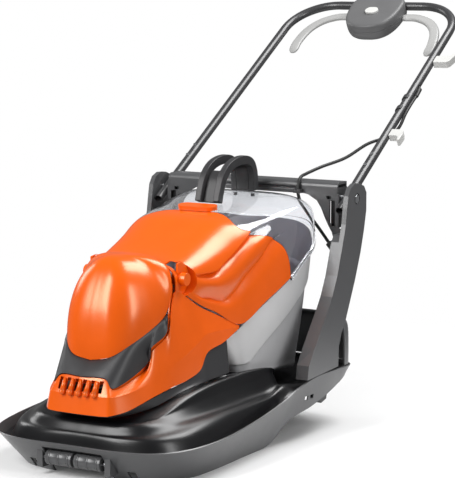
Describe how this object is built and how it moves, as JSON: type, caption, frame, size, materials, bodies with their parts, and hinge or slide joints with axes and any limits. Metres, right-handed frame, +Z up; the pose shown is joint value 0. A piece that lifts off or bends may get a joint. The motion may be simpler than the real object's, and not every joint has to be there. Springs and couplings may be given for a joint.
{
  "type": "hover mower",
  "caption": "Orange and grey electric hover mower with a clear-lidded grass box behind its motor cover, front rollers and a folding tubular handle.",
  "frame": {"origin": "on the ground, under the middle of the bounding box", "axes": "+Z up, -Y towards the nose, +Y towards the handle, +X to the right hand of someone facing the same way as the handle leans"},
  "size_m": [0.4951, 1.3242, 0.8472],
  "materials": {
    "orange_plastic": "gloss moulded, bright orange",
    "grey_plastic": "satin moulded, mid-dark grey",
    "switch_plastic": "fine-textured grey",
    "black_gloss": "high-gloss black",
    "dark_plastic": "satin black",
    "tube_paint": "satin dark grey powder coat",
    "steel": "bright",
    "copper": "enamelled copper wire",
    "pale_plastic": "satin off-white",
    "clear_plastic": "clear moulded",
    "smoke_plastic": "cloudy grey moulded",
    "lead_rubber": "matt black sheath"
  },
  "bodies": {
    "base": {"deck_skirt": "grey_plastic", "hood_shell": "black_gloss", "motor_base": "grey_plastic", "bonnet": "orange_plastic", "nose_trim": "grey_plastic", "nose_dome": "orange_plastic", "arm_left": "grey_plastic", "arm_right": "grey_plastic", "crossbeam": "grey_plastic", "rear_wall": "grey_plastic", "rear_feet": "dark_plastic", "roller_axle": "steel", "motor_plate": "steel", "motor_can": "steel", "motor_cap": "dark_plastic", "motor_windings": "copper", "brush_gear": "copper", "motor_bearings": "steel", "hinge_pins": "orange_plastic", "pivot_bolts": "steel", "lead_span": "lead_rubber", "lead_lower": "lead_rubber", "beam_clip": "dark_plastic", "lead_gland": "dark_plastic", "cover_screws": "steel"},
    "handle": {"tube_left": "tube_paint", "tube_right": "tube_paint", "top_bow": "tube_paint", "tube_plugs": "dark_plastic", "tube_screws": "steel", "switch_lower": "switch_plastic", "switch_upper": "switch_plastic", "bail_pin": "steel", "micro_switch": "dark_plastic", "mains_inlet": "lead_rubber", "lead_upper": "lead_rubber", "lead_clips": "dark_plastic", "hook_upper": "pale_plastic", "hook_lower": "pale_plastic"},
    "bail": {"bail_lever": "pale_plastic"},
    "button": {"lock_button": "pale_plastic", "button_spring": "steel"},
    "tub": {"grass_tub": "smoke_plastic", "tub_arms": "smoke_plastic"},
    "lid": {"duct_cover": "orange_plastic", "lid_ears": "orange_plastic", "clear_lid": "clear_plastic", "lid_cap": "orange_plastic", "carry_handle": "dark_plastic", "handle_screws": "dark_plastic"},
    "rotor": {"rotor_shaft": "steel", "fan": "dark_plastic", "blade_spacers": "dark_plastic", "blade": "steel", "blade_bolt": "steel"},
    "roller_l": {"roller_left": "dark_plastic"},
    "roller_r": {"roller_right": "dark_plastic"}
  },
  "joints": [
    {"name": "handle_fold", "type": "hinge", "parent": "base", "child": "handle", "pos_m": [-0.015, 0.0255, 0.451], "axis": [1, 0, 0], "range_deg": [0, 140], "deforming": ["lead_span"]},
    {"name": "bail_squeeze", "type": "hinge", "parent": "handle", "child": "bail", "pos_m": [-0.015, 0.59749, 0.79408], "axis": [-1, 0, 0], "range_deg": [0, 12], "stiffness_Nm_per_rad": 2, "springref_deg": -14.32},
    {"name": "lock_press", "type": "slide", "parent": "handle", "child": "button", "axis": [0, 0.5284, -0.849], "range_m": [0, 0.003], "stiffness_N_per_m": 700, "springref_m": -0.001, "deforming": ["button_spring"]},
    {"name": "collector_lift", "type": "hinge", "parent": "base", "child": "tub", "pos_m": [-0.015, -0.4325, 0.342], "axis": [1, 0, 0], "range_deg": [0, 12]},
    {"name": "lid_open", "type": "hinge", "parent": "tub", "child": "lid", "pos_m": [-0.015, -0.4325, 0.342], "axis": [1, 0, 0], "range_deg": [0, 34]},
    {"name": "rotor_spin", "type": "hinge", "parent": "base", "child": "rotor", "pos_m": [-0.015, -0.4305, 0.04], "axis": [0, 0, 1], "continuous": true},
    {"name": "roller_left_spin", "type": "hinge", "parent": "base", "child": "roller_l", "pos_m": [-0.046, -0.6385, 0.033], "axis": [1, 0, 0], "continuous": true},
    {"name": "roller_right_spin", "type": "hinge", "parent": "base", "child": "roller_r", "pos_m": [0.016, -0.6385, 0.033], "axis": [1, 0, 0], "continuous": true}
  ]
}
